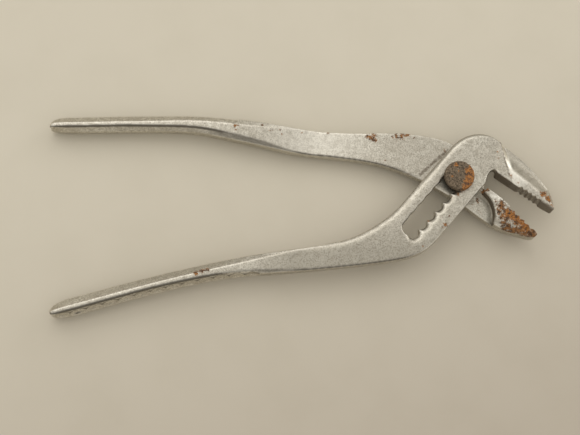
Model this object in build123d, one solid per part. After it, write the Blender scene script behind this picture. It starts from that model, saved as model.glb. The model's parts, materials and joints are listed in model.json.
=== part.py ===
from build123d import *
import os
from math import cos, radians, sin

import numpy as np

# Slip-joint water-pump pliers, nominal 250 mm (10 inch). Millimetres and degrees throughout.
# Origin: on the pivot bolt's axis, at the underside of its nut. +X runs towards the jaws, +Y towards the
# rear lever's handle, and +Z up through the bolt to its round head.

# Heights, built up from the underside of the nut.
NUT_HEIGHT = 3.2
WASHER_THICKNESS = 0.8
PLATE_THICKNESS = 4.8
REAR_BOTTOM = NUT_HEIGHT + WASHER_THICKNESS
INTERFACE = REAR_BOTTOM + PLATE_THICKNESS
FRONT_TOP = INTERFACE + PLATE_THICKNESS
JAW_HALF_WIDTH = 5.0
HANDLE_HALF_HEIGHT = 5.0

# Slot with its row of notches, in the front lever.
SLOT_ANGLE = 229.2
NOTCH_PITCH = 6.1
NOTCH_COUNT = 7
NOTCH_RADIUS = 3.1
TIP_OFFSET = 1.2
WALL_OFFSET = 6.0
WALL_SCALLOP_RADIUS = 6.4
SCALLOP_REACH = 2.0
END_RADIUS = 3.6

# Straight edges of the head beside the slot: distance across the slot, then start and end along it.
PLATE_EDGE_UPPER = 13.0
UPPER_EDGE_START = -8.0
UPPER_EDGE_END = 29.0
PLATE_EDGE_LOWER = 11.3
LOWER_EDGE_START = -6.0
LOWER_EDGE_END = 30.0

# Pivot bolt, washer and nut.
HEAD_RADIUS = 7.4
HEAD_HEIGHT = 2.8
HEAD_CENTRE = (-0.5, 0.3)
HEAD_EDGE = 0.5
JOURNAL_RADIUS = 3.05
LUG_RADIUS = 5.7
LUG_WIDTH = 3.0
LUG_ANGLE = 116.2
SHANK_RADIUS = 3.0
SHANK_FLAT = 2.5
BOLT_END = 0.0
WASHER_RADIUS = 6.0
WASHER_BORE = 3.1
NUT_ACROSS_FLATS = 10.0
NUT_CHAMFER = 0.4

# Handles: the tall grip section is a pointed oval, with a narrow crown and sloping flanks. Its crown lies a
# little off the middle, towards -Y. Shallow flutes cross the palm side, above and below its parting band.
GRIP_BOTTOM = INTERFACE - HANDLE_HALF_HEIGHT
GRIP_TOP = INTERFACE + HANDLE_HALF_HEIGHT
CROWN_HALF_WIDTH = 0.9
CROWN_SHIFT = 0.9
FLANK_HALF_HEIGHT = 1.2
PLATE_EDGE = 0.3
LOFT_MARGIN = 0.1
FRONT_FLUTE_COUNT = 13
REAR_FLUTE_COUNT = 11
FLUTE_PITCH = 7.45
FLUTE_DEPTH = 0.6
PARTING_BAND = 2.6
FRONT_FLUTE_START = -190.6
REAR_FLUTE_START = -187.2

# Jaws.
TOOTH_COUNT = 5
TOOTH_DEPTH = 1.3
TOOTH_LEAN = 0.35
STEP_CENTRE = (2.2, -18.2)
STEP_RADIUS = 14.2
BLOCK_OFFSET = 13.6

# Longer than the tool: the size of cutting shapes that pass right through.
FAR = 260.0


def slot_point(along, across):
    """A point at a distance along the slot from the first notch, and across it towards the lower jaw."""
    run = radians(SLOT_ANGLE)
    return (along * cos(run) - across * sin(run), along * sin(run) + across * cos(run))


def towards(angle):
    return (cos(radians(angle)), sin(radians(angle)))


def slab(outline, bottom, top):
    return extrude(Pos(0, 0, bottom) * make_face(outline), top - bottom)


def grip(stations, crown_shift):
    """Handle lofted through eight-sided sections.

    A station is (palm point, inner point, bottom, top, fullness). Fullness is 0 for the pointed oval of
    the grip and 1 for the square section of the plate.
    """
    sections = []
    for palm, inner, bottom, top, fullness in stations:
        across = Vector(*palm) - Vector(*inner)
        middle = Vector(*inner) + across / 2
        width = across.length / 2
        height = (top - bottom) / 2
        level = (top + bottom) / 2
        crown = CROWN_HALF_WIDTH + fullness * (width - PLATE_EDGE - CROWN_HALF_WIDTH)
        flank = FLANK_HALF_HEIGHT + fullness * (height - PLATE_EDGE - FLANK_HALF_HEIGHT)
        shift = crown_shift * (1 - fullness)
        run = Vector(-across.Y, across.X, 0)
        origin = (middle.X, middle.Y, 0)
        plane = Plane(origin=origin, x_dir=(across.X, across.Y, 0), z_dir=(run.X, run.Y, 0))
        upright = 1 if plane.y_dir.Z > 0 else -1
        ring = [
            (width, level - flank), (width, level + flank), (shift + crown, top), (shift - crown, top),
            (-width, level + flank), (-width, level - flank),
            (shift - crown, bottom), (shift + crown, bottom),
        ]
        sections.append(plane * make_face(Polyline(*[(x, upright * z) for x, z in ring], close=True)))
    return loft(sections)


def fluted(handle, stations, start, count, outward):
    """Cuts shallow round flutes across the palm side, evenly spaced from the one nearest the free end."""
    radius = ((FLUTE_PITCH / 2) ** 2 + FLUTE_DEPTH ** 2) / (2 * FLUTE_DEPTH)
    palm_x = [station[0][0] for station in stations]
    palm_y = [station[0][1] for station in stations]
    cutter = Cylinder(radius, FAR / 4) - Box(FAR, FAR, PARTING_BAND)
    for index in range(count):
        x = start + index * FLUTE_PITCH
        y = float(np.interp(x, palm_x, palm_y))
        slope = float(np.interp(x + 1, palm_x, palm_y)) - y
        outside = Vector(-slope, 1, 0).normalized() * outward * (radius - FLUTE_DEPTH)
        handle = handle - Pos(x + outside.X, y + outside.Y, INTERFACE) * cutter
    return handle


def toothed_line(start, end, count, inward):
    """Saw-tooth points from start to end: each tooth rises from a root set back into the jaw."""
    points = [start]
    run = Vector(*end) - Vector(*start)
    for index in range(count):
        root = Vector(*start) + run * ((index + TOOTH_LEAN) / count) + Vector(*inward) * TOOTH_DEPTH
        crest = Vector(*start) + run * ((index + 1) / count)
        points.append((root.X, root.Y))
        points.append((crest.X, crest.Y))
    return points


def slot_band(start, end, inner, outer):
    """A rectangle in the slot's own directions, between two distances along it and two across it."""
    return make_face(Polyline(
        slot_point(start, inner), slot_point(end, inner), slot_point(end, outer), slot_point(start, outer),
        close=True,
    ))


def notched_slot():
    """Plan of the slot: a channel, a round notch at each position, and shallow scallops in the far wall."""
    travel = NOTCH_PITCH * (NOTCH_COUNT - 1)
    end_along = travel + NOTCH_RADIUS - END_RADIUS
    plan = slot_band(0, end_along, -WALL_OFFSET, TIP_OFFSET)
    plan = plan + Pos(*slot_point(end_along, END_RADIUS - WALL_OFFSET)) * Circle(END_RADIUS)
    plan = plan + (Circle(WALL_OFFSET) & slot_band(0, -2 * WALL_OFFSET, -2 * WALL_OFFSET, TIP_OFFSET))
    for index in range(NOTCH_COUNT):
        along = index * NOTCH_PITCH
        scallop = Pos(*slot_point(along, 0)) * Circle(WALL_SCALLOP_RADIUS)
        low, high = along - SCALLOP_REACH, along + SCALLOP_REACH
        reach = slot_band(low, high, -WALL_SCALLOP_RADIUS, -SCALLOP_REACH)
        plan = plan + Pos(*slot_point(along, 0)) * Circle(NOTCH_RADIUS)
        if index < NOTCH_COUNT - 1:
            plan = plan + (scallop & reach)
    return plan


def front_lever():
    """Upper jaw, head with the slot, and the handle that runs down to the left, in one forging."""
    run = towards(SLOT_ANGLE)
    back = (-run[0], -run[1])
    head_left = slot_point(UPPER_EDGE_END, -PLATE_EDGE_UPPER)
    head_right = slot_point(UPPER_EDGE_START, -PLATE_EDGE_UPPER)
    edge_start = slot_point(LOWER_EDGE_START, PLATE_EDGE_LOWER)
    edge_end = slot_point(LOWER_EDGE_END, PLATE_EDGE_LOWER)
    jaw_top = (20.7, 18.6)
    jaw_root = (18.4, 2.7)
    inside_jaw = (26.0, 6.0)
    waist_inner = (-66.0, -34.4)
    waist_outer = (-64.0, -46.2)

    plate = slab([
        Spline(waist_inner, (-53, -30.4), (-41, -23.9), head_left, tangents=((0.96, 0.28), back)),
        Line(head_left, head_right),
        Spline(head_right, (3.0, 21.0), (11.0, 23.0), jaw_top, tangents=(back, (0.76, -0.65))),
        Polyline(jaw_top, inside_jaw, jaw_root),
        Spline(jaw_root, (16.9, 4.2), (14.7, 2.6), (13.3, -0.4), edge_start),
        Line(edge_start, edge_end),
        Spline(edge_end, (-20.5, -38.2), (-38, -42.9), waist_outer, tangents=(run, (-0.99, -0.11))),
        Line(waist_outer, waist_inner),
    ], INTERFACE, FRONT_TOP)

    stations = [
        ((-196.6, -68.2), (-197.0, -67.0), GRIP_BOTTOM + 2.6, GRIP_TOP - 2.6, 0),
        ((-194.9, -69.6), (-196.1, -65.5), GRIP_BOTTOM + 0.9, GRIP_TOP - 0.9, 0),
        ((-192.2, -70.1), (-194.1, -63.6), GRIP_BOTTOM + 0.2, GRIP_TOP - 0.2, 0),
        ((-189.0, -69.8), (-191.5, -62.2), GRIP_BOTTOM, GRIP_TOP, 0),
        ((-179.4, -67.3), (-181.6, -59.2), GRIP_BOTTOM, GRIP_TOP, 0),
        ((-164.4, -62.9), (-166.6, -54.9), GRIP_BOTTOM, GRIP_TOP, 0),
        ((-149.6, -58.7), (-151.6, -50.8), GRIP_BOTTOM, GRIP_TOP, 0),
        ((-134.8, -55.0), (-136.5, -47.0), GRIP_BOTTOM, GRIP_TOP, 0.05),
        ((-118.4, -51.5), (-120.0, -43.2), GRIP_BOTTOM, GRIP_TOP, 0.15),
        ((-103.0, -49.4), (-104.0, -40.0), GRIP_BOTTOM + 0.6, GRIP_TOP, 0.35),
        ((-87.2, -48.1), (-88.0, -37.6), GRIP_BOTTOM + 2.4, GRIP_TOP - 0.1, 0.7),
        ((-74.6, -47.2), (-75.6, -35.9), GRIP_BOTTOM + 4.2, GRIP_TOP - 0.2, 0.95),
        ((-64.0, -46.1), (-65.4, -33.9), INTERFACE + LOFT_MARGIN, FRONT_TOP, 1),
        ((-53.2, -44.8), (-54.4, -31.4), INTERFACE + LOFT_MARGIN, FRONT_TOP, 1),
    ]
    handle = fluted(grip(stations, CROWN_SHIFT), stations, FRONT_FLUTE_START, FRONT_FLUTE_COUNT, -1)

    nose = (45.0, -16.1)
    bite = toothed_line((39.3, -12.1), (28.9, -4.8), TOOTH_COUNT, (0.577, 0.817))
    jaw = slab([
        Spline(jaw_top, (31.0, 10.8), (40.4, 0.2), (44.4, -6.0), (45.8, -13.6)),
        ThreePointArc((45.8, -13.6), (46.1, -15.3), nose),
        Polyline(nose, *bite, jaw_root),
        Spline(jaw_root, (19.6, 10.0), jaw_top),
    ], INTERFACE - JAW_HALF_WIDTH, INTERFACE + JAW_HALF_WIDTH)

    slot = extrude(notched_slot(), FAR)
    return plate - slot + handle + jaw


def rear_lever():
    """Lower jaw, the flat plate that lies behind the front lever, and the upper handle, in one forging."""
    jaw_corner = (13.1, -5.0)
    jaw_nose = (37.0, -28.4)
    hidden_start = (-3.3, 19.2)
    waist_palm = (-68.0, 24.4)
    waist_inner = (-68.0, 11.7)
    bite = [(17.9, -8.5), (22.3, -12.2)]
    bite += toothed_line((24.2, -14.6), (35.2, -26.0), TOOTH_COUNT, (-0.72, -0.69))
    outline = [
        Spline(
            waist_palm, (-43, 24.0), (-28, 24.2), (-18, 23.2), hidden_start,
            tangents=((1, -0.05), (0.85, -0.5)),
        ),
        Spline(hidden_start, (7.0, 14.8), (12.2, 6.0), jaw_corner, tangents=((0.85, -0.5), (0.15, -1))),
        Polyline(jaw_corner, *bite, jaw_nose),
        Spline(
            jaw_nose, (36.2, -29.0), (30.6, -28.5), (20.9, -25.7), (15.2, -22.8), (3.8, -14.4),
            (-18.0, -0.6), (-38.6, 7.4), (-58.4, 10.6), waist_inner,
        ),
        Line(waist_inner, waist_palm),
    ]
    plate = slab(outline, REAR_BOTTOM, INTERFACE)

    stations = [
        ((-201.5, 26.0), (-201.5, 24.6), GRIP_BOTTOM + 2.6, GRIP_TOP - 2.6, 0),
        ((-200.4, 27.8), (-200.4, 23.4), GRIP_BOTTOM + 0.9, GRIP_TOP - 0.9, 0),
        ((-198.2, 29.0), (-198.2, 22.6), GRIP_BOTTOM + 0.2, GRIP_TOP - 0.2, 0),
        ((-195.0, 29.6), (-195.0, 22.2), GRIP_BOTTOM, GRIP_TOP, 0),
        ((-181.0, 30.4), (-180.6, 22.2), GRIP_BOTTOM, GRIP_TOP, 0),
        ((-165.0, 31.0), (-164.8, 22.6), GRIP_BOTTOM, GRIP_TOP, 0),
        ((-149.0, 31.2), (-149.1, 22.8), GRIP_BOTTOM, GRIP_TOP, 0.05),
        ((-127.4, 31.3), (-128.2, 22.1), GRIP_BOTTOM, GRIP_TOP, 0.2),
        ((-110.8, 29.9), (-112.6, 19.2), GRIP_BOTTOM, GRIP_TOP - 0.4, 0.35),
        ((-95.2, 28.3), (-97.0, 16.1), GRIP_BOTTOM, GRIP_TOP - 1.8, 0.55),
        ((-81.4, 26.3), (-82.8, 13.3), GRIP_BOTTOM + 0.1, GRIP_TOP - 3.8, 0.85),
        ((-72.6, 25.0), (-73.4, 12.0), REAR_BOTTOM, INTERFACE + 0.2, 0.97),
        ((-64.0, 24.1), (-64.4, 11.3), REAR_BOTTOM, INTERFACE - LOFT_MARGIN, 1),
        ((-54.0, 23.9), (-54.2, 10.2), REAR_BOTTOM, INTERFACE - LOFT_MARGIN, 1),
    ]
    handle = fluted(grip(stations, -CROWN_SHIFT), stations, REAR_FLUTE_START, REAR_FLUTE_COUNT, 1)

    block = slab(outline, INTERFACE - JAW_HALF_WIDTH, INTERFACE + JAW_HALF_WIDTH)
    outboard = make_face(Polyline(
        slot_point(-FAR, BLOCK_OFFSET),
        slot_point(FAR, BLOCK_OFFSET),
        slot_point(FAR, FAR),
        slot_point(-FAR, FAR),
        close=True,
    ))
    recess = Pos(*STEP_CENTRE) * Cylinder(STEP_RADIUS, FAR)
    right_of_step = Pos(FAR / 2 + STEP_CENTRE[0], 0, 0) * Box(FAR, FAR, FAR)
    jaw = (block & extrude(outboard, FAR) & right_of_step) - recess

    hole = extrude(shank_plan(), FRONT_TOP)
    return plate + handle + jaw - hole


def shank_plan():
    """Round shank with two flats, which the rear lever's hole fits so that the two turn together."""
    flats = Rectangle(2 * SHANK_RADIUS, 2 * SHANK_FLAT, rotation=LUG_ANGLE)
    return Circle(SHANK_RADIUS) & flats


def pivot_bolt():
    """Round head a little off the shank's axis, journal with its lug, flatted shank and threaded end."""
    head = Pos(*HEAD_CENTRE, FRONT_TOP) * extrude(Circle(HEAD_RADIUS), HEAD_HEIGHT)
    head = chamfer(head.edges().sort_by(Axis.Z)[-1], HEAD_EDGE)
    lug = Rectangle(LUG_RADIUS, LUG_WIDTH, rotation=LUG_ANGLE, align=(Align.MIN, Align.CENTER))
    journal = Circle(JOURNAL_RADIUS) + (lug & Circle(LUG_RADIUS))
    neck = extrude(Pos(0, 0, INTERFACE) * journal, PLATE_THICKNESS)
    flatted = extrude(Pos(0, 0, REAR_BOTTOM) * shank_plan(), PLATE_THICKNESS)
    thread = extrude(Pos(0, 0, BOLT_END) * Circle(SHANK_FLAT), REAR_BOTTOM - BOLT_END)
    return head + neck + flatted + thread


def pivot_washer():
    ring = Circle(WASHER_RADIUS) - Circle(WASHER_BORE)
    return extrude(Pos(0, 0, NUT_HEIGHT) * ring, WASHER_THICKNESS)


def pivot_nut():
    hexagon = RegularPolygon(NUT_ACROSS_FLATS / 2, 6, major_radius=False)
    nut = extrude(hexagon, NUT_HEIGHT)
    corner = NUT_ACROSS_FLATS / 2 / cos(radians(30))
    blank = extrude(Circle(corner), NUT_HEIGHT)
    blank = chamfer(blank.edges().sort_by(Axis.Z)[0], NUT_CHAMFER)
    return (nut & blank) - extrude(Circle(SHANK_FLAT), NUT_HEIGHT)


os.makedirs("parts", exist_ok=True)
PIECES = {
    "front_lever": front_lever,
    "rear_lever": rear_lever,
    "pivot_bolt": pivot_bolt,
    "pivot_washer": pivot_washer,
    "pivot_nut": pivot_nut,
}
for name, make in PIECES.items():
    export_step(make(), f"parts/{name}.step")
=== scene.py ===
import json

import bpy
import numpy as np
from mathutils import Matrix, Vector, kdtree, noise


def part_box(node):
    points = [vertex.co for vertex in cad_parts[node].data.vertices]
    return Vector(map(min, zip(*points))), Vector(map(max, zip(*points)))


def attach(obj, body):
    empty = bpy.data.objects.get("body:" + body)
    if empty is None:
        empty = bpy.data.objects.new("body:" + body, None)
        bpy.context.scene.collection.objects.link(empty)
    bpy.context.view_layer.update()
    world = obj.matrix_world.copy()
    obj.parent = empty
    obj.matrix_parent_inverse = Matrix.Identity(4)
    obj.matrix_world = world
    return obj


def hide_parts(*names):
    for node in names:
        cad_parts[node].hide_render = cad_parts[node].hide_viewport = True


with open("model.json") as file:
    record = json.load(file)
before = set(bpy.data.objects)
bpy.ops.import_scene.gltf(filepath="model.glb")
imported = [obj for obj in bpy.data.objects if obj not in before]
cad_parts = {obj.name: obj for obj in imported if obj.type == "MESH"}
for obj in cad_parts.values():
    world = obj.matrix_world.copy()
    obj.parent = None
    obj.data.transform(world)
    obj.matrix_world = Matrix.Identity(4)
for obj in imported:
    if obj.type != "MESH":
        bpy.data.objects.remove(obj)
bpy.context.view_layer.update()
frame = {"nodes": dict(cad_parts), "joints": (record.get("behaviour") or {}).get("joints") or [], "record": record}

# Slip-joint water-pump pliers in satin plate, worn and rusty at the jaws. Metres, in the CAD part's frame:
# the origin is on the pivot axis, +X runs to the jaws, +Y to the rear lever's handle and +Z to the bolt head.
MM = 0.001

# Heights, all read from the frame.
NUT_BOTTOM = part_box("pivot_nut")[0].z
WASHER_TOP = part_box("pivot_washer")[1].z
HANDLE_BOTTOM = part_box("front_lever")[0].z
HINGE = next(joint for joint in frame["joints"] if joint["type"] == "hinge")
SLIDE = next(joint for joint in frame["joints"] if joint["type"] == "slide")
INTERFACE = HINGE["pos_m"][2]
PLATE_THICKNESS = INTERFACE - WASHER_TOP
FRONT_TOP = INTERFACE + PLATE_THICKNESS

# Everything that shapes or paints a mesh is in millimetres, and so are these heights.
MIDDLE = INTERFACE / MM
TOP = FRONT_TOP / MM
HALF_HEIGHT = 5.0

# Directions along the slot, from the first notch, and across it towards the lower jaw.
SLOT_RUN = np.array(SLIDE["axis"][:2])
SLOT_SIDE = np.array([-SLOT_RUN[1], SLOT_RUN[0]])

# Sizes of the grids that the pieces are remeshed with.
LEVER_GRID = 0.37 * MM
BOLT_GRID = 0.16 * MM
HARDWARE_GRID = 0.14 * MM

# Flutes of the palm sides, as in the CAD levers: their pitch, where the first one is, and how many there are.
FLUTE_PITCH = 7.45
FRONT_FLUTES = (-190.6, 13)
REAR_FLUTES = (-187.2, 11)


# ---------------------------------------------------------------- mesh tools

def points_of(mesh):
    flat = np.empty(len(mesh.vertices) * 3, np.float32)
    mesh.vertices.foreach_get("co", flat)
    return flat.reshape(-1, 3).astype(np.float64) / MM


def put_points(mesh, points):
    mesh.vertices.foreach_set("co", (points * MM).astype(np.float32).ravel())
    mesh.update()


def normals_of(mesh):
    flat = np.empty(len(mesh.vertices) * 3, np.float32)
    mesh.vertex_normals.foreach_get("vector", flat)
    return flat.reshape(-1, 3).astype(np.float64)


def edges_of(mesh):
    flat = np.empty(len(mesh.edges) * 2, np.int32)
    mesh.edges.foreach_get("vertices", flat)
    return flat.reshape(-1, 2)


def neighbour_mean(values, edges, counts):
    """Mean of each vertex's neighbours, for an array of one or more columns."""
    a, b = edges[:, 0], edges[:, 1]
    columns = []
    for column in values.reshape(len(values), -1).T:
        total = np.bincount(a, column[b], len(values)) + np.bincount(b, column[a], len(values))
        columns.append(total / counts)
    return np.stack(columns, axis=1).reshape(values.shape)


def relaxed(values, edges, weight, passes):
    """Rounds a surface's corners: weight is 0 where a vertex stays and 1 where it moves freely."""
    counts = np.bincount(edges.ravel(), minlength=len(values)).astype(float)
    step = 0.5 * np.broadcast_to(weight, len(values))
    if values.ndim > 1:
        step = step.reshape(-1, 1)
    for _ in range(passes):
        values = values + step * (neighbour_mean(values, edges, counts) - values)
    return values


def smoothstep(low, high, values):
    """0 below the first bound and 1 past the second. The bounds may run downwards."""
    t = np.clip((values - low) / (high - low), 0, 1)
    return t * t * (3 - 2 * t)


def near(points, x, y, radius):
    """1 at a place in plan, falling to 0 at the radius."""
    return 1 - smoothstep(0, radius, np.hypot(points[:, 0] - x, points[:, 1] - y))


def near_line(points, start, end, radius):
    """1 on a line in plan, falling to 0 at the radius."""
    start, run = np.array(start, float), np.subtract(end, start)
    t = np.clip((points[:, :2] - start) @ run / (run @ run), 0, 1)
    away = np.linalg.norm(points[:, :2] - start - t[:, None] * run, axis=1)
    return 1 - smoothstep(0, radius, away)


def inside_circle(points, centre, radius):
    """Distance in plan from a circle, positive on its inside."""
    return radius - np.hypot(points[:, 0] - centre[0], points[:, 1] - centre[1])


def near_circle(points, centre, radius, width):
    """1 on a circle in plan, falling to 0 at a distance from it."""
    return 1 - smoothstep(0, width, np.abs(inside_circle(points, centre, radius)))


def remeshed(node, name, grid):
    """A copy of a CAD node as an even, closed grid of small faces."""
    piece = bpy.data.objects.new(name, frame["nodes"][node].data.copy())
    bpy.context.scene.collection.objects.link(piece)
    modifier = piece.modifiers.new("grid", "REMESH")
    modifier.mode = "VOXEL"
    modifier.voxel_size = grid
    graph = bpy.context.evaluated_depsgraph_get()
    mesh = bpy.data.meshes.new_from_object(piece.evaluated_get(graph))
    piece.modifiers.clear()
    piece.data = mesh
    mesh.name = name
    mesh.materials.clear()
    mesh.shade_smooth()
    return piece


def paint(mesh, name, values):
    layer = mesh.attributes.new(name, "FLOAT", "POINT")
    layer.data.foreach_set("value", np.clip(values, 0, 1).astype(np.float32))


def bend_of(mesh, passes):
    """Height of each vertex above the softened surface: positive on convex edges."""
    points = points_of(mesh)
    soft = relaxed(points, edges_of(mesh), 1.0, passes)
    return np.einsum("ij,ij->i", points - soft, normals_of(mesh))


def roughness_field(points, scale, seed):
    """Fractal noise at each vertex, about -1 to 1. Scale is per millimetre."""
    falloff, lacunarity, octaves = 1.0, 2.0, 4
    offset = Vector((seed, seed * 1.7, -seed))
    return np.array([noise.fractal(Vector(p) * scale + offset, falloff, lacunarity, octaves) for p in points])


def wall_distance(points, normals, facing, limit):
    """Distance in plan from each vertex to the nearest side wall that faces a way, up to a limit."""
    wall = (np.abs(normals[:, 2]) < 0.35) & (normals[:, :2] @ facing > 0.25)
    places = points[wall][:, :2]
    tree = kdtree.KDTree(len(places))
    for index, place in enumerate(places):
        tree.insert((place[0], place[1], 0), index)
    tree.balance()
    return np.array([min(limit, tree.find((p[0], p[1], 0))[2]) for p in points])


def body_of(node):
    """The body that a CAD node moves with."""
    bodies = frame["record"]["behaviour"]["bodies"]
    return next(body for body, nodes in bodies.items() if node in nodes)


# ---------------------------------------------------------------- handles

# Depth of the pressed flutes, the height share of their arched tops, and how much lower two arches meet.
FLUTE_DEPTH = 0.45
ARCH_TOP = 0.78
ARCH_FALL = 0.24

# Passes that round the levers' edges, and the share of them that the slim handles keep.
SOFTENING_PASSES = 14
HANDLE_SOFTENING = 0.4


def level_of(points):
    """Height from the levers' interface, as a share of the handles' half height."""
    return (points[:, 2] - MIDDLE) / HALF_HEIGHT


def arch_of(points, flutes):
    """For each point: the height share of its flute's arched top, how far it is from the flute's middle, and
    whether it is among the flutes at all."""
    start, count = flutes
    phase = (points[:, 0] - start) / FLUTE_PITCH
    inside = smoothstep(-0.5, -0.4, phase) * (1 - smoothstep(count - 0.6, count - 0.5, phase))
    off_centre = np.abs(2 * (phase - np.round(phase)))
    return ARCH_TOP - ARCH_FALL * off_centre ** 2, off_centre, inside


def facing_palm(normals, palm_side):
    """1 on the flank that the palm holds. The palm's side is 1 towards +Y and -1 towards -Y."""
    return smoothstep(0.15, 0.45, normals[:, 1] * palm_side)


def flute_painted_shade(points, normals, flutes, palm_side):
    """Painted shade on the dark edge of the flutes' arches, broad where two arches meet and fainter on the far
    handle.
    """
    arch, off_centre, inside = arch_of(points, flutes)
    width = 0.05 + 0.15 * off_centre ** 5
    off_edge = np.abs(np.abs(level_of(points)) - arch - 0.02)
    on_edge = 1 - smoothstep(0.3 * width, width, off_edge)
    strength = 0.35 if palm_side > 0 else 0.9
    return strength * inside * on_edge * facing_palm(normals, palm_side)


def scoops(points, flutes):
    """Share of a flute's full depth: arched at the top, and fading out at the parting line."""
    arch, off_centre, inside = arch_of(points, flutes)
    level = np.abs(level_of(points))
    under_arch = 1 - smoothstep(arch - 0.06, arch + 0.02, level)
    above_parting = smoothstep(0.05, 0.32, level)
    return inside * under_arch * above_parting * (1 - 0.35 * off_centre ** 2)


def with_flutes(mesh, points, edges, flutes, palm_side):
    """Presses the flutes into one flank of a handle and eases their edges."""
    put_points(mesh, points)
    moved = points.copy()
    moved[:, 1] -= palm_side * FLUTE_DEPTH * scoops(points, flutes) * facing_palm(normals_of(mesh), palm_side)
    return relaxed(moved, edges, 0.4 * smoothstep(-90, -100, points[:, 0]), 2)


def slim_handle(x):
    """Share of the softening to keep: all of it on the plate and less on the slim handle."""
    return 1 - (1 - HANDLE_SOFTENING) * smoothstep(-60, -75, x)


# ---------------------------------------------------------------- front lever

# The sloping upper border: its reach from the side wall at the handle and at the head, and its fall.
BORDER_AT_HANDLE = 4.4
BORDER_AT_HEAD = 3.5
BORDER_LIMIT = 7.0
BORDER_FALL = 0.38

# The upper jaw's tooth line in plan, and the jaw's width at stations along it.
BITE_START = np.array((18.4, 2.7))
BITE_END = np.array((45.0, -16.1))
JAW_STATIONS = [-14, -4, 6, 16, 26, 34]
JAW_WIDTHS = [14.0, 13.5, 12.4, 10.4, 7.6, 4.0]

# The crease between the flat head and the jaw: its top end, and how it slants.
CREASE_TOP = (20.7, 18.4)
CREASE_SLANT = 0.21

# The upper jaw's section: where its ridge is, and the share of its height lost at the back, teeth and nose.
RIDGE_SHARE = 0.30
BACK_FALL = 0.66
FACET_FALL = 0.10
NOSE_FALL = 0.22


def front_lever():
    piece = remeshed("front_lever", "front_lever_forging", LEVER_GRID)
    mesh = piece.data
    edges = edges_of(mesh)
    points = relaxed(points_of(mesh), edges, 0.6, 4)
    points = bevelled_border(points, normals_of(mesh))
    points = barrel(points)
    points = relaxed(points, edges, front_softness(points), SOFTENING_PASSES)
    points = with_flutes(mesh, points, edges, FRONT_FLUTES, -1)
    put_points(mesh, points)
    finish_steel(piece, "front_lever", front_stains_and_shade, front_painted_highlight, FRONT_FLUTES, -1)


def front_softness(points):
    """Crisper round the slot's notches and the teeth."""
    x = points[:, 0]
    side = points[:, :2] @ SLOT_SIDE
    run = points[:, :2] @ SLOT_RUN
    in_slot = (np.abs(side) < 8.5) & (run > -8) & (run < 44) & (x > -40)
    softness = np.where(in_slot, 0.25, 0.5)
    softness *= 1 - 0.85 * near_line(points, (28, -4.2), (41, -14), 4.5)
    return softness * slim_handle(x)


def bevelled_border(points, normals):
    """The long sloping edge of the front lever's upper border, between the handle and the head's top."""
    away = wall_distance(points, normals, -SLOT_SIDE, BORDER_LIMIT)
    x = points[:, 0]
    width = BORDER_AT_HANDLE - (BORDER_AT_HANDLE - BORDER_AT_HEAD) * smoothstep(-20, 8, x)
    width = width * (1 - smoothstep(10, 20, x)) + 0.01
    amount = np.clip(1 - away / width, 0, 1) ** 3
    full = smoothstep(-85, -50, x) * (x < 20)
    level = np.clip((points[:, 2] - MIDDLE) / (TOP - MIDDLE), 0, 1)
    moved = points.copy()
    moved[:, 2] -= full * amount * BORDER_FALL * width * level
    return moved


def jaw_plan(points):
    """Distance along the upper jaw's tooth line, and the share of the way from it to the jaw's back."""
    run = (BITE_END - BITE_START) / np.linalg.norm(BITE_END - BITE_START)
    outward = np.array((-run[1], run[0]))
    along = (points[:, :2] - BITE_START) @ run
    depth = (points[:, :2] - BITE_START) @ outward
    return along, depth / np.interp(along, JAW_STATIONS, JAW_WIDTHS)


def past_crease(points):
    """How far each point is beyond the crease, on the jaw's side."""
    x, y = points[:, 0], points[:, 1]
    return x - (CREASE_TOP[0] + (CREASE_TOP[1] - y) * CREASE_SLANT)


def barrel(points):
    """Shapes the upper jaw: a flat facet beside the teeth, a ridge, then a round fall to its back."""
    along, share = jaw_plan(points)
    on_jaw = smoothstep(0, 2.2, past_crease(points))
    back = np.clip((share - RIDGE_SHARE) / (1 - RIDGE_SHARE), 0, 1)
    facet = np.clip((RIDGE_SHARE - share) / RIDGE_SHARE, 0, 1)
    nose = smoothstep(25.0, 33.5, along)
    lost = BACK_FALL * back ** 1.5 + FACET_FALL * facet + NOSE_FALL * nose ** 1.5
    moved = points.copy()
    moved[:, 2] = MIDDLE + (points[:, 2] - MIDDLE) * (1 - on_jaw * lost)
    return moved


# ---------------------------------------------------------------- rear lever

# The step between the rear lever's plate and the raised lower jaw, in plan.
STEP_CENTRE = (2.2, -18.2)
STEP_RADIUS = 14.2

# The upper edge of the lower jaw's sloping face, in plan, and how steeply the face falls.
FACET_START = np.array((16.5, -20.0))
FACET_END = np.array((36.5, -28.0))
FACET_SLOPE = 0.55


def rear_lever():
    piece = remeshed("rear_lever", "rear_lever_forging", LEVER_GRID)
    mesh = piece.data
    points, edges = points_of(mesh), edges_of(mesh)
    raised = smoothstep(TOP - 5.5, TOP - 3.5, points[:, 2]) * smoothstep(12, 16, points[:, 0])
    points = lower_facet(points, raised)
    points = relaxed(points, edges, rear_softness(points), SOFTENING_PASSES)
    points = with_flutes(mesh, points, edges, REAR_FLUTES, 1)
    put_points(mesh, corroded_jaw(points, normals_of(mesh), raised))
    finish_steel(piece, "rear_lever", rear_stains_and_shade, rear_painted_highlight, REAR_FLUTES, 1)


def rear_softness(points):
    """Crisper on the lower jaw."""
    x = points[:, 0]
    return np.where(x > 14, 0.3, 0.5) * slim_handle(x)


def lower_facet(points, raised):
    """The lower jaw's sloping face, from its body down to the outer side wall."""
    run = (FACET_END - FACET_START) / np.linalg.norm(FACET_END - FACET_START)
    outward = np.array((run[1], -run[0]))
    past = (points[:, :2] - FACET_START) @ outward
    moved = points.copy()
    moved[:, 2] -= raised * np.clip(past + 1.0, 0, 6) * FACET_SLOPE
    return moved


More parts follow.
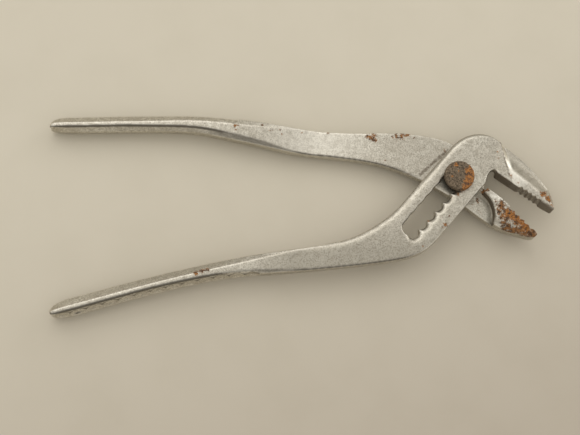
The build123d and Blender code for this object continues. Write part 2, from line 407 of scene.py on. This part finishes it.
def corroded_jaw(points, normals, raised):
    """Eats rust pits of two sizes into the lower jaw's upper face."""
    amount = near_line(points, (19, -13), (33, -26), 7) * smoothstep(-0.1, 0.5, normals[:, 2]) * raised
    pits = roughness_field(points, 0.75, 3.0)
    fine = roughness_field(points, 1.9, 8.0)
    return points + normals * (amount * (0.40 * pits + 0.30 * fine - 0.2))[:, None]


# ---------------------------------------------------------------- wear, stains, rust and painted light

# Stained places on the front lever's upper face: x, y, radius and strength.
FRONT_RUST = [
    (-8.3, -24.4, 2.0, 0.9), (-19.3, -34.4, 1.2, 0.75), (-6.1, -19.8, 1.0, 0.75), (-10.1, -20.6, 1.4, 0.5),
    (-0.8, -8.4, 2.8, 0.62), (-3.6, -10.4, 1.6, 0.6), (-15.8, -21.6, 1.9, 0.8),
    (19.6, 13.0, 1.3, 0.62), (19.2, 10.2, 1.6, 0.62), (20.6, 7.0, 1.0, 0.5),
    (-128.0, -49.0, 1.8, 0.85), (-125.4, -48.0, 2.0, 0.95), (-122.4, -47.2, 1.5, 0.9),
    (25.6, 0.6, 1.8, 0.60), (28.6, -2.4, 1.6, 0.62), (23.6, 4.6, 1.2, 0.55),
    (41.0, -8.2, 3.0, 0.95), (43.2, -10.8, 3.0, 1.0), (44.0, -14.0, 2.2, 0.9),
]
# The same on the rear lever.
REAR_RUST = [
    (-44.9, 22.0, 1.6, 0.85), (-43.0, 21.6, 2.0, 0.95), (-40.9, 20.2, 1.8, 0.85), (-41.3, 23.3, 2.2, 0.95),
    (-30.4, 22.2, 2.6, 0.85), (-27.3, 22.4, 2.2, 0.95), (-24.6, 23.4, 1.8, 0.85), (-21.6, 21.6, 1.1, 0.85),
    (-36.1, 9.9, 1.0, 0.8), (-24.9, 1.4, 2.0, 0.85), (-64.3, 23.6, 1.0, 0.75),
    (-126.7, 25.2, 0.8, 0.6), (-110.6, 25.6, 1.4, 0.95), (-108.8, 25.5, 0.9, 0.75), (-110.2, 23.4, 1.0, 0.85),
    (-97.2, 26.6, 1.1, 0.7), (-92.7, 24.1, 1.7, 0.62), (-88.3, 24.4, 0.9, 0.75), (-87.3, 22.2, 0.9, 0.75),
    (-77.4, 23.2, 1.0, 0.65), (12.5, -6.1, 2.4, 0.9), (9.2, -10.4, 2.0, 0.6), (10.1, -16.5, 1.6, 0.65),
    (6.8, -12.6, 1.8, 0.55), (-5.6, 15.6, 2.0, 0.6),
]
# Rusty bands on the lower jaw: start, end, radius and strength.
JAW_RUST = [
    ((19.2, -14.0), (21.0, -21.5), 4.6, 0.82), ((23.0, -18.0), (35.5, -27.8), 4.6, 1.0),
    ((21.0, -24.8), (36.5, -28.6), 3.0, 0.95),
]
# Rust on the bolt's head.
BOLT_RUST = [
    (3.5, 2.8, 2.2, 0.9), (4.6, -1.0, 2.6, 1.0), (2.3, -4.4, 1.8, 0.8), (-2.2, 5.4, 1.5, 0.8),
    (5.2, 3.6, 1.8, 0.9), (-1.0, 2.0, 1.3, 0.6), (-4.4, -0.6, 1.2, 0.65),
]
# How far a stain fades beyond its radius.
SPREAD = 1.5


def spots(points, places):
    """Round stains, each fading from its strength."""
    shades = [strength * near(points, x, y, SPREAD * radius) for x, y, radius, strength in places]
    return np.max(shades, axis=0)


def bands(points, places):
    """Long stains, each fading from its strength."""
    shades = [strength * near_line(points, *ends, SPREAD * radius) for *ends, radius, strength in places]
    return np.max(shades, axis=0)


def painted_dark_reflection(points, normals):
    """Painted dark reflection: the fine dark line below the crown, where the surface turns over towards -Y, left
    of the head.
    """
    x = points[:, 0]
    tilt = np.degrees(np.arctan2(-normals[:, 1], normals[:, 2]))
    turning = smoothstep(14, 24, tilt) * (1 - smoothstep(42, 52, tilt))
    crown = smoothstep(0.84, 0.87, level_of(points))
    below_crown = crown * smoothstep(15, 25, tilt) * (1 - smoothstep(-118, -108, x))
    twist = smoothstep(-125, -112, x) * (1 - smoothstep(-84, -76, x))
    return np.maximum(turning, below_crown) * (1 - smoothstep(-35, -15, x)) * (1 - 0.7 * twist)


def finish_steel(piece, node, stains, worn, flutes, palm_side):
    """Paints where a lever is worn, dirty or rusty, with its painted highlights and shade, for its material, and
    puts it in the node's place.
    """
    mesh = piece.data
    points, normals = points_of(mesh), normals_of(mesh)
    bend = bend_of(mesh, 12)
    handle = 1 - smoothstep(-60, -30, points[:, 0])
    # Convex edges worn bright, with a painted highlight that is stronger on the handles.
    crests = smoothstep(0.03, 0.16, bend) * (0.25 + 0.45 * handle)
    # The dark line below the crown is a painted dark reflection, and the flutes' outlines are painted shade.
    line = 2.4 * relaxed(painted_dark_reflection(points, normals), edges_of(mesh), 1.0, 3)
    # The second mask, from worn, is a painted highlight.
    paint(mesh, "wear_and_highlight", np.maximum(crests, worn(points)))
    paint(mesh, "hollow", smoothstep(0.02, 0.14, -bend))
    paint(mesh, "line", np.maximum(line, flute_painted_shade(points, normals, flutes, palm_side)))
    # These include painted shade as well as stains.
    for name, values in stains(points, normals).items():
        paint(mesh, name, values)
    mesh.materials.append(plated_steel)
    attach(piece, body_of(node))
    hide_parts(node)


def front_painted_highlight(points):
    """Painted highlight on the upper jaw's facet, which widens from the crease's top to the teeth."""
    along, share = jaw_plan(points)
    beyond = past_crease(points)
    past = smoothstep(0.2, 1.0, beyond)
    wedge = past * (1 - smoothstep(1.8, 3.4, beyond))
    facet = past * (1 - smoothstep(0.36, 0.48, share)) * (1 - smoothstep(8, 20, along))
    return np.maximum(wedge, facet)


def rear_painted_highlight(points):
    """Painted highlight along the lower jaw's edge beside the step, and where the plate meets the handle."""
    x = points[:, 0]
    start_of_plate = 0.40 * smoothstep(-105, -74, x) * (1 - smoothstep(-68, -36, x))
    return np.maximum(start_of_plate, near_line(points, (15.8, -9.5), (19.5, -11.0), 2.5))


def front_stains_and_shade(points, normals):
    x = points[:, 0]
    # The nose end is darker, and the crease and the tooth faces that turn downwards get painted shade.
    nose_end = near_line(points, (38.5, -12.5), (45.5, -17.0), 3.4)
    upper = smoothstep(-0.2, 0.3, normals[:, 2])
    crease = near_line(points, (20.7, 18.4), (24.3, 1.3), 1.6) * 0.6
    teeth = near_line(points, (17.0, 3.2), (45, -16.4), 2.6) * smoothstep(0.3, -0.1, normals[:, 2])
    return {
        "rust": spots(points, FRONT_RUST) * upper * (1 - nose_end),
        "grime_and_shade": np.max([crease, teeth, nose_end], axis=0),
        "dull": front_painted_shade(points, normals),
        "fresh": 0.5 + 0.4 * smoothstep(12, 20, x),
    }


def front_painted_shade(points, normals):
    """Painted shade that dulls the plate on the flat below the slot, on the head's far rim and on the middle of
    the jaw's back.
    """
    x, y = points[:, 0], points[:, 1]
    flat = smoothstep(0.90, 0.98, normals[:, 2]) * smoothstep(26, 20, x)
    below_slot = flat * (0.08 + 0.42 * smoothstep(-20, -40, y) * smoothstep(-110, -80, x))
    tilt = np.degrees(np.arctan2(normals[:, 1], normals[:, 2]))
    rim = 0.6 * smoothstep(12, 25, tilt) * smoothstep(-24, -12, x) * (1 - smoothstep(20, 22, x))
    along, share = jaw_plan(points)
    band = smoothstep(0.40, 0.54, share) * (1 - 0.6 * smoothstep(0.66, 0.92, share))
    band *= smoothstep(1.6, 3.2, past_crease(points)) * (1 - 0.5 * smoothstep(16, 30, along))
    return np.max([below_slot, rim, band], axis=0)


def rear_stains_and_shade(points, normals):
    x, z = points[:, 0], points[:, 2]
    upper = smoothstep(-0.2, 0.3, normals[:, 2])
    off_step = 1 - near_circle(points, STEP_CENTRE, STEP_RADIUS, 1.5)
    jaw = bands(points, JAW_RUST) * smoothstep(MIDDLE - 1, MIDDLE + 1.5, z) * off_step
    orange = near_line(points, (22.5, -17.5), (32, -25), 4.5)
    return {
        "rust": np.maximum(spots(points, REAR_RUST) * upper, jaw),
        "grime_and_shade": rear_grime_and_shade(points, normals, upper, jaw),
        "dull": rear_tarnish_and_shade(points, normals),
        "fresh": np.where(x > 14, 0.15 + 0.85 * orange, 0.5),
    }


def rear_grime_and_shade(points, normals, upper, jaw):
    """Dirt under the jaw's rust and beside the front lever's borders, with painted shade beside those borders and
    on the step's wall.
    """
    x, z = points[:, 0], points[:, 2]
    border = near_line(points, (-4.6, 15.6), (-19.0, 2.4), 2.6) * 0.62
    corner = near_line(points, (-19.5, 4.8), (-23.5, 3.0), 3.0) * 0.45
    mouth = near_line(points, (6.0, -11.8), (10.0, -9.0), 4) * 0.5
    wall = near_circle(points, STEP_CENTRE, STEP_RADIUS, 1.0) * smoothstep(0.6, 0.3, normals[:, 2])
    wall = 0.9 * wall * (x > 8) * (z > MIDDLE + 0.3)
    return np.max([border * upper, corner * upper, mouth * upper, 0.62 * jaw, wall], axis=0)


def rear_tarnish_and_shade(points, normals):
    """Slightly duller plate towards the jaws, and a dark band of painted shade and soiling beside the step."""
    x, y, z = points.T
    plate = 0.15 * smoothstep(-45, -20, x) * smoothstep(0.9, 0.98, normals[:, 2])
    from_step = inside_circle(points, STEP_CENTRE, STEP_RADIUS)
    beside = smoothstep(4.4, 1.4, from_step) * (from_step > -0.6)
    return np.maximum(plate, 0.95 * beside * (x > 8) * (y > -25) * (z > MIDDLE - 1))


# ---------------------------------------------------------------- materials

class Nodes:
    """A short way to write a node tree."""

    def __init__(self, name):
        self.material = bpy.data.materials.new(name)
        self.material.use_nodes = True
        self.tree = self.material.node_tree
        self.shader = self.tree.nodes["Principled BSDF"]
        self.place = self.tree.nodes.new("ShaderNodeTexCoord").outputs["Object"]

    def link(self, value, socket):
        if isinstance(value, bpy.types.NodeSocket):
            self.tree.links.new(value, socket)
        else:
            socket.default_value = value

    def field(self, name):
        node = self.tree.nodes.new("ShaderNodeAttribute")
        node.attribute_name = name
        return node.outputs["Fac"]

    def noise(self, scale, detail=4.0, roughness=0.55):
        """Clouds in the range 0 to 1. Scale is per metre."""
        node = self.tree.nodes.new("ShaderNodeTexNoise")
        node.inputs["Scale"].default_value = scale
        node.inputs["Detail"].default_value = detail
        node.inputs["Roughness"].default_value = roughness
        self.link(self.place, node.inputs["Vector"])
        return node.outputs["Fac"]

    def maths(self, operation, a, b):
        node = self.tree.nodes.new("ShaderNodeMath")
        node.operation = operation
        self.link(a, node.inputs[0])
        self.link(b, node.inputs[1])
        return node.outputs[0]

    def times(self, a, b):
        return self.maths("MULTIPLY", a, b)

    def slant(self, x_share, y_share):
        """A weighted sum of the place's X and Y."""
        node = self.tree.nodes.new("ShaderNodeSeparateXYZ")
        self.link(self.place, node.inputs[0])
        x_part = self.times(node.outputs["X"], x_share)
        y_part = self.times(node.outputs["Y"], y_share)
        return self.maths("ADD", x_part, y_part)

    def step(self, value, low, high):
        node = self.tree.nodes.new("ShaderNodeMapRange")
        node.interpolation_type = "SMOOTHSTEP"
        self.link(value, node.inputs["Value"])
        node.inputs["From Min"].default_value = low
        node.inputs["From Max"].default_value = high
        return node.outputs["Result"]

    def span(self, value, low, high):
        """Turns a value of 0 to 1 into a range."""
        node = self.tree.nodes.new("ShaderNodeMapRange")
        self.link(value, node.inputs["Value"])
        node.inputs["To Min"].default_value = low
        node.inputs["To Max"].default_value = high
        return node.outputs["Result"]

    def mix(self, factor, a, b):
        node = self.tree.nodes.new("ShaderNodeMix")
        node.data_type = "RGBA"
        self.link(factor, node.inputs["Factor"])
        first, second = [socket for socket in node.inputs if socket.type == "RGBA"]
        self.link(a, first)
        self.link(b, second)
        return next(socket for socket in node.outputs if socket.type == "RGBA")

    def bump(self, height, strength, distance):
        node = self.tree.nodes.new("ShaderNodeBump")
        node.inputs["Strength"].default_value = strength
        node.inputs["Distance"].default_value = distance
        self.link(height, node.inputs["Height"])
        return node.outputs["Normal"]

    def finish(self, colour, metallic, roughness, normal):
        """Links the four results to the shader."""
        self.link(colour, self.shader.inputs["Base Color"])
        self.link(metallic, self.shader.inputs["Metallic"])
        self.link(roughness, self.shader.inputs["Roughness"])
        self.link(normal, self.shader.inputs["Normal"])
        return self.material


def rgb(red, green, blue):
    return (red, green, blue, 1.0)


# Plate, from its polished edges and painted highlights down to its darker hollows, painted dark lines and soiling
# with painted shade.
# Polished edges, and painted highlights.
POLISH_AND_HIGHLIGHT = rgb(0.93, 0.90, 0.82)
PLATE_PALE = rgb(0.72, 0.69, 0.61)
PLATE_WARM = rgb(0.64, 0.605, 0.53)
PLATE_MOTTLED = rgb(0.50, 0.465, 0.395)
BLAST_GRAIN = rgb(0.36, 0.33, 0.275)
# Tarnish, and painted shade on the plates.
TARNISH_AND_SHADE = rgb(0.215, 0.195, 0.155)
# Darker in concave hollows.
HOLLOW_DARKENING = rgb(0.16, 0.135, 0.10)
# Painted shade: the dark reflection below the crown and the flutes' outlines.
PAINTED_DARK_LINES = rgb(0.075, 0.065, 0.05)
# Grime, and painted shade beside edges, in the crease and on the step's wall.
GRIME_AND_SHADE = rgb(0.10, 0.070, 0.040)

# Rust: pits, brown, and the dark and light of its orange.
OLD_PITS = rgb(0.036, 0.019, 0.010)
OLD_BROWN = rgb(0.24, 0.115, 0.042)
FRESH_PITS = rgb(0.030, 0.016, 0.009)
FRESH_BROWN = rgb(0.17, 0.075, 0.030)
ORANGE_DARK = rgb(0.19, 0.060, 0.012)
ORANGE_LIGHT = rgb(0.45, 0.195, 0.042)

# The bolt's bare steel, and zinc for the nut and the washer.
BOLT_DARK = rgb(0.052, 0.036, 0.022)
BOLT_LIGHT = rgb(0.26, 0.198, 0.135)
ZINC_WORN = rgb(0.62, 0.59, 0.53)
NUT_ZINC = (rgb(0.46, 0.43, 0.38), rgb(0.27, 0.25, 0.215))
WASHER_ZINC = (rgb(0.42, 0.40, 0.36), rgb(0.30, 0.275, 0.24))

# The floor's two tones, away from the viewer and at the viewer's lower right, where it has painted shade.
FLOOR_FAR = (rgb(0.655, 0.607, 0.505), rgb(0.635, 0.588, 0.486))
FLOOR_NEAR_SHADED = (rgb(0.480, 0.425, 0.350), rgb(0.462, 0.407, 0.332))


def broken(nodes, mask, cloud, low, high, reach):
    """A painted mask with its edge broken up by a noise."""
    shifted = nodes.maths("ADD", mask, nodes.span(cloud, -reach, reach))
    present = nodes.step(mask, 0.02, 0.12)
    return nodes.times(nodes.step(shifted, low, high), present)


def rust_colour(nodes, bright):
    """Near-black pits through brown to orange. The brightness is 0 for old stains and 1 for fresh rust."""
    grain = nodes.noise(1500, detail=6, roughness=0.7)
    patch = nodes.noise(620, detail=5, roughness=0.75)
    brown = nodes.mix(nodes.step(grain, 0.38, 0.62), FRESH_PITS, FRESH_BROWN)
    orange = nodes.mix(nodes.step(grain, 0.35, 0.62), ORANGE_DARK, ORANGE_LIGHT)
    fresh = nodes.mix(nodes.step(patch, 0.42, 0.54), brown, orange)
    old = nodes.mix(nodes.step(patch, 0.42, 0.56), OLD_PITS, OLD_BROWN)
    return nodes.mix(bright, old, fresh)


def plate_colour(nodes, blast, mottle):
    """Mottled and grained plate, polished where worn, brighter with painted highlights, duller where tarnished and
    under painted shade, and darker in its hollows and along painted dark lines.
    """
    cloud = nodes.noise(70, detail=5)
    plate = nodes.mix(nodes.step(cloud, 0.35, 0.7), PLATE_WARM, PLATE_PALE)
    plate = nodes.mix(nodes.step(mottle, 0.30, 0.60), PLATE_MOTTLED, plate)
    plate = nodes.mix(nodes.step(blast, 0.34, 0.58), BLAST_GRAIN, plate)
    # Wear and painted highlights polish the plate.
    polish_and_highlight = nodes.times(nodes.field("wear_and_highlight"), nodes.span(nodes.step(mottle, 0.3, 0.6), 0.62, 0.98))
    plate = nodes.mix(polish_and_highlight, plate, POLISH_AND_HIGHLIGHT)
    # Tarnish and painted shade dull the plate.
    tarnish_and_shade = nodes.times(nodes.field("dull"), nodes.span(nodes.step(mottle, 0.3, 0.7), 0.6, 1.0))
    plate = nodes.mix(tarnish_and_shade, plate, TARNISH_AND_SHADE)
    # Darker in concave hollows.
    plate = nodes.mix(nodes.times(nodes.field("hollow"), 0.5), plate, HOLLOW_DARKENING)
    # Painted shade: the dark reflection below the crown and the flutes' outlines darken the plate.
    return nodes.mix(nodes.times(nodes.field("line"), 0.85), plate, PAINTED_DARK_LINES)


def steel_material():
    """Satin plate over a forged, blasted surface: darker in its hollows, soiled, with painted highlights and
    painted shade, and rust where painted.
    """
    nodes = Nodes("satin_plate")
    blast = nodes.noise(1500, detail=4, roughness=0.7)
    mottle = nodes.noise(420, detail=5, roughness=0.65)
    ragged = nodes.noise(520, detail=8, roughness=0.85)
    # Grime, with painted shade mixed into it.
    grime_and_shade = broken(nodes, nodes.field("grime_and_shade"), ragged, 0.35, 0.75, 0.6)
    rust = broken(nodes, nodes.times(nodes.field("rust"), 0.85), ragged, 0.46, 0.62, 1.7)
    steel = nodes.mix(nodes.times(grime_and_shade, 0.85), plate_colour(nodes, blast, mottle), GRIME_AND_SHADE)
    colour = nodes.mix(rust, steel, rust_colour(nodes, nodes.field("fresh")))
    # Rust, grime and painted shade make the plate rough and less metallic.
    rust_grime_and_shade = nodes.maths("MAXIMUM", rust, nodes.times(grime_and_shade, 0.6))
    satin = nodes.span(nodes.step(blast, 0.2, 0.8), 0.26, 0.42)
    roughness = nodes.maths("MAXIMUM", satin, nodes.times(rust_grime_and_shade, 0.85))
    grain = nodes.maths("ADD", blast, nodes.times(mottle, 2.0))
    pitted = nodes.times(nodes.times(ragged, rust), 2.5)
    relief = nodes.bump(nodes.maths("ADD", grain, pitted), 0.45, 0.16 * MM)
    return nodes.finish(colour, nodes.span(rust_grime_and_shade, 1.0, 0.0), roughness, relief)


def bolt_material():
    """Dark worn steel with orange rust over the side towards the jaws."""
    nodes = Nodes("rusty_bolt")
    ragged = nodes.noise(900, detail=6, roughness=0.75)
    grain = nodes.noise(1500, detail=5, roughness=0.7)
    dark = nodes.mix(nodes.step(grain, 0.36, 0.64), BOLT_DARK, BOLT_LIGHT)
    rust = broken(nodes, nodes.field("rust"), ragged, 0.42, 0.62, 1.0)
    colour = nodes.mix(rust, dark, rust_colour(nodes, 1.0))
    relief = nodes.bump(nodes.maths("ADD", ragged, grain), 0.6, 0.3 * MM)
    return nodes.finish(colour, nodes.span(rust, 0.45, 0.0), nodes.span(ragged, 0.5, 0.85), relief)


def hardware_material(name, zinc, stain):
    """Dull zinc with a dark, slightly rusty bloom: the nut and the washer."""
    nodes = Nodes(name)
    pale, dark = zinc
    cloud = nodes.noise(500, detail=6, roughness=0.65)
    grain = nodes.noise(2000, detail=4)
    bloom = nodes.step(nodes.noise(260, detail=6, roughness=0.7), 0.54, 0.64)
    bloom = nodes.times(bloom, stain)
    steel = nodes.mix(nodes.step(cloud, 0.35, 0.65), dark, pale)
    steel = nodes.mix(nodes.times(nodes.field("wear_and_highlight"), 0.7), steel, ZINC_WORN)
    colour = nodes.mix(bloom, steel, rust_colour(nodes, 0.6))
    relief = nodes.bump(nodes.maths("ADD", cloud, grain), 0.4, 0.2 * MM)
    return nodes.finish(colour, nodes.span(bloom, 0.85, 0.0), nodes.span(cloud, 0.38, 0.66), relief)


# ---------------------------------------------------------------- bolt, nut and washer

HEAD_RADIUS = 7.4
DOME_FALL = 0.14

# How far the neck is worn back from the slot's walls, and the head's underside stands off the front lever.
NECK_WEAR = 0.22
HEAD_GAP = 0.10


def bolt():
    piece = remeshed("pivot_bolt", "pivot_bolt_worn", BOLT_GRID)
    mesh = piece.data
    points = relaxed(points_of(mesh), edges_of(mesh), 0.7, 12)
    put_points(mesh, points)
    normals = normals_of(mesh)
    height = points[:, 2]
    towards_jaws = smoothstep(0.2, 4.6, points[:, 0] - 0.35 * points[:, 1])
    points = eased_neck(pitted_head(points, normals), normals, height)
    put_points(mesh, points)
    on_head = smoothstep(TOP - 0.5, TOP + 0.5, points[:, 2])
    paint(mesh, "rust", np.maximum(towards_jaws, spots(points, BOLT_RUST)) * on_head)
    mesh.materials.append(bolt_material())
    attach(piece, "rear_lever")
    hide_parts("pivot_bolt")


def pitted_head(points, normals):
    """Pits the head all round and lets its top fall away from the middle."""
    x, y, z = points.T
    head = smoothstep(TOP + 0.3, TOP + 1.0, z)
    upper = points[z > TOP + 1.0]
    centre = (upper.min(axis=0) + upper.max(axis=0)) / 2
    radius = np.hypot(x - centre[0], y - centre[1])
    dome = DOME_FALL * (radius / HEAD_RADIUS) ** 2 * smoothstep(0.5, 0.9, normals[:, 2])
    pits = roughness_field(points, 0.9, 5.0)
    fine = roughness_field(points, 2.6, 2.0)
    moved = points + normals * (head * (0.10 * pits + 0.08 * fine - 0.10))[:, None]
    moved[:, 2] -= dome * head
    return moved


def eased_neck(points, normals, height):
    """Clears the neck from the slot's walls and the head's underside from the lever."""
    moved = points.copy()
    neck = smoothstep(MIDDLE - 0.4, MIDDLE + 0.2, height) * (1 - smoothstep(TOP - 0.3, TOP + 0.1, height))
    from_axis = np.hypot(points[:, 0], points[:, 1])
    moved[:, :2] *= (1 - neck * NECK_WEAR / np.maximum(from_axis, 1.0))[:, None]
    underside = smoothstep(0.4, 0.8, -normals[:, 2]) * smoothstep(TOP - 0.6, TOP - 0.3, height)
    moved[:, 2] += HEAD_GAP * underside
    return moved


def hardware(node, name, softness, material):
    """The nut or the washer, with its edges eased and worn bright."""
    piece = remeshed(node, name, HARDWARE_GRID)
    mesh = piece.data
    put_points(mesh, relaxed(points_of(mesh), edges_of(mesh), softness, 8))
    paint(mesh, "wear_and_highlight", smoothstep(0.01, 0.06, bend_of(mesh, 10)))
    mesh.materials.append(material)
    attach(piece, body_of(node))
    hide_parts(node)


# ---------------------------------------------------------------- stage

# The floor's half size, and the places along X where it meets the nut and the handles' ends.
FLOOR_SIZE = 3.0
NUT_CONTACT = -5 * MM
HANDLE_CONTACT = -195 * MM

# Soft lights: name, place, width, height and power. They all face the tool's middle.
LIGHTS = [
    ("window", (-0.40, 0.90, 0.80), 1.6, 0.6, 2.8),
    ("ceiling", (-0.50, 0.60, 1.4), 1.6, 0.9, 2.3),
    ("side", (1.15, 0.60, 0.60), 1.0, 0.9, 3.3),
]
TOOL_MIDDLE = Vector((-0.06, -0.02, 0.0))
LIGHT_COLOUR = (1.0, 0.98, 0.935)
SURROUND_COLOUR = rgb(1.0, 0.965, 0.895)
SURROUND_STRENGTH = 0.71

# The camera looks down at about 75 degrees, from a little in front of the tool.
CAMERA_LENS = 70.08
CAMERA_SENSOR = 36
CAMERA_PLACE = Vector((-0.10136, -0.16234, 0.53975))
CAMERA_RIGHT = Vector((0.99942, 0.0, 0.0342))
CAMERA_UP = Vector((-0.00885, 0.96594, 0.25866))


def floor():
    """The tool rests on its nut and on its handles' ends, so the floor meets both."""
    slope = (HANDLE_BOTTOM - NUT_BOTTOM) / (HANDLE_CONTACT - NUT_CONTACT)
    corners = [(-1, -1), (1, -1), (1, 1), (-1, 1)]
    places = [(FLOOR_SIZE * x, FLOOR_SIZE * y, (FLOOR_SIZE * x - NUT_CONTACT) * slope) for x, y in corners]
    mesh = bpy.data.meshes.new("floor")
    mesh.from_pydata(places, [], [(0, 1, 2, 3)])
    mesh.materials.append(floor_material())
    plane = bpy.data.objects.new("floor", mesh)
    bpy.context.scene.collection.objects.link(plane)


def floor_material():
    """Pale, faintly smudged paper with painted shade that darkens it towards the viewer's right."""
    nodes = Nodes("pale_floor")
    smudge = nodes.step(nodes.noise(30, detail=6), 0.35, 0.75)
    far, near_viewer = nodes.mix(smudge, *FLOOR_FAR), nodes.mix(smudge, *FLOOR_NEAR_SHADED)
    # Painted shade: the floor darkens towards the viewer's lower right.
    nearness = nodes.step(nodes.slant(0.35, -1.0), -0.10, 0.22)
    nodes.link(nodes.mix(nearness, far, near_viewer), nodes.shader.inputs["Base Color"])
    nodes.shader.inputs["Roughness"].default_value = 0.75
    return nodes.material


def surround():
    world = bpy.data.worlds.new("studio")
    bpy.context.scene.world = world
    world.use_nodes = True
    background = world.node_tree.nodes["Background"]
    background.inputs["Color"].default_value = SURROUND_COLOUR
    background.inputs["Strength"].default_value = SURROUND_STRENGTH


def soft_light(name, place, width, height, power):
    lamp = bpy.data.lights.new(name, "AREA")
    lamp.shape = "RECTANGLE"
    lamp.size, lamp.size_y = width, height
    lamp.energy = power
    lamp.color = LIGHT_COLOUR
    light = bpy.data.objects.new(name, lamp)
    bpy.context.scene.collection.objects.link(light)
    light.location = place
    light.rotation_euler = (TOOL_MIDDLE - Vector(place)).to_track_quat("-Z", "Y").to_euler()


def camera():
    data = bpy.data.cameras.new("camera")
    data.lens = CAMERA_LENS
    data.sensor_width = CAMERA_SENSOR
    eye = bpy.data.objects.new("camera", data)
    bpy.context.scene.collection.objects.link(eye)
    back = CAMERA_RIGHT.cross(CAMERA_UP)
    turn = Matrix((CAMERA_RIGHT, CAMERA_UP, back)).transposed()
    eye.matrix_world = Matrix.Translation(CAMERA_PLACE) @ turn.to_4x4()
    bpy.context.scene.camera = eye


plated_steel = steel_material()
nut_zinc = hardware_material("dull_zinc_nut", NUT_ZINC, 0.8)
washer_zinc = hardware_material("dull_zinc_washer", WASHER_ZINC, 0.5)

front_lever()
rear_lever()
bolt()
hardware("pivot_nut", "pivot_nut_worn", 0.5, nut_zinc)
hardware("pivot_washer", "pivot_washer_worn", 0.3, washer_zinc)
floor()
surround()
for light in LIGHTS:
    soft_light(*light)
camera()
bpy.context.scene.view_settings.view_transform = "Standard"
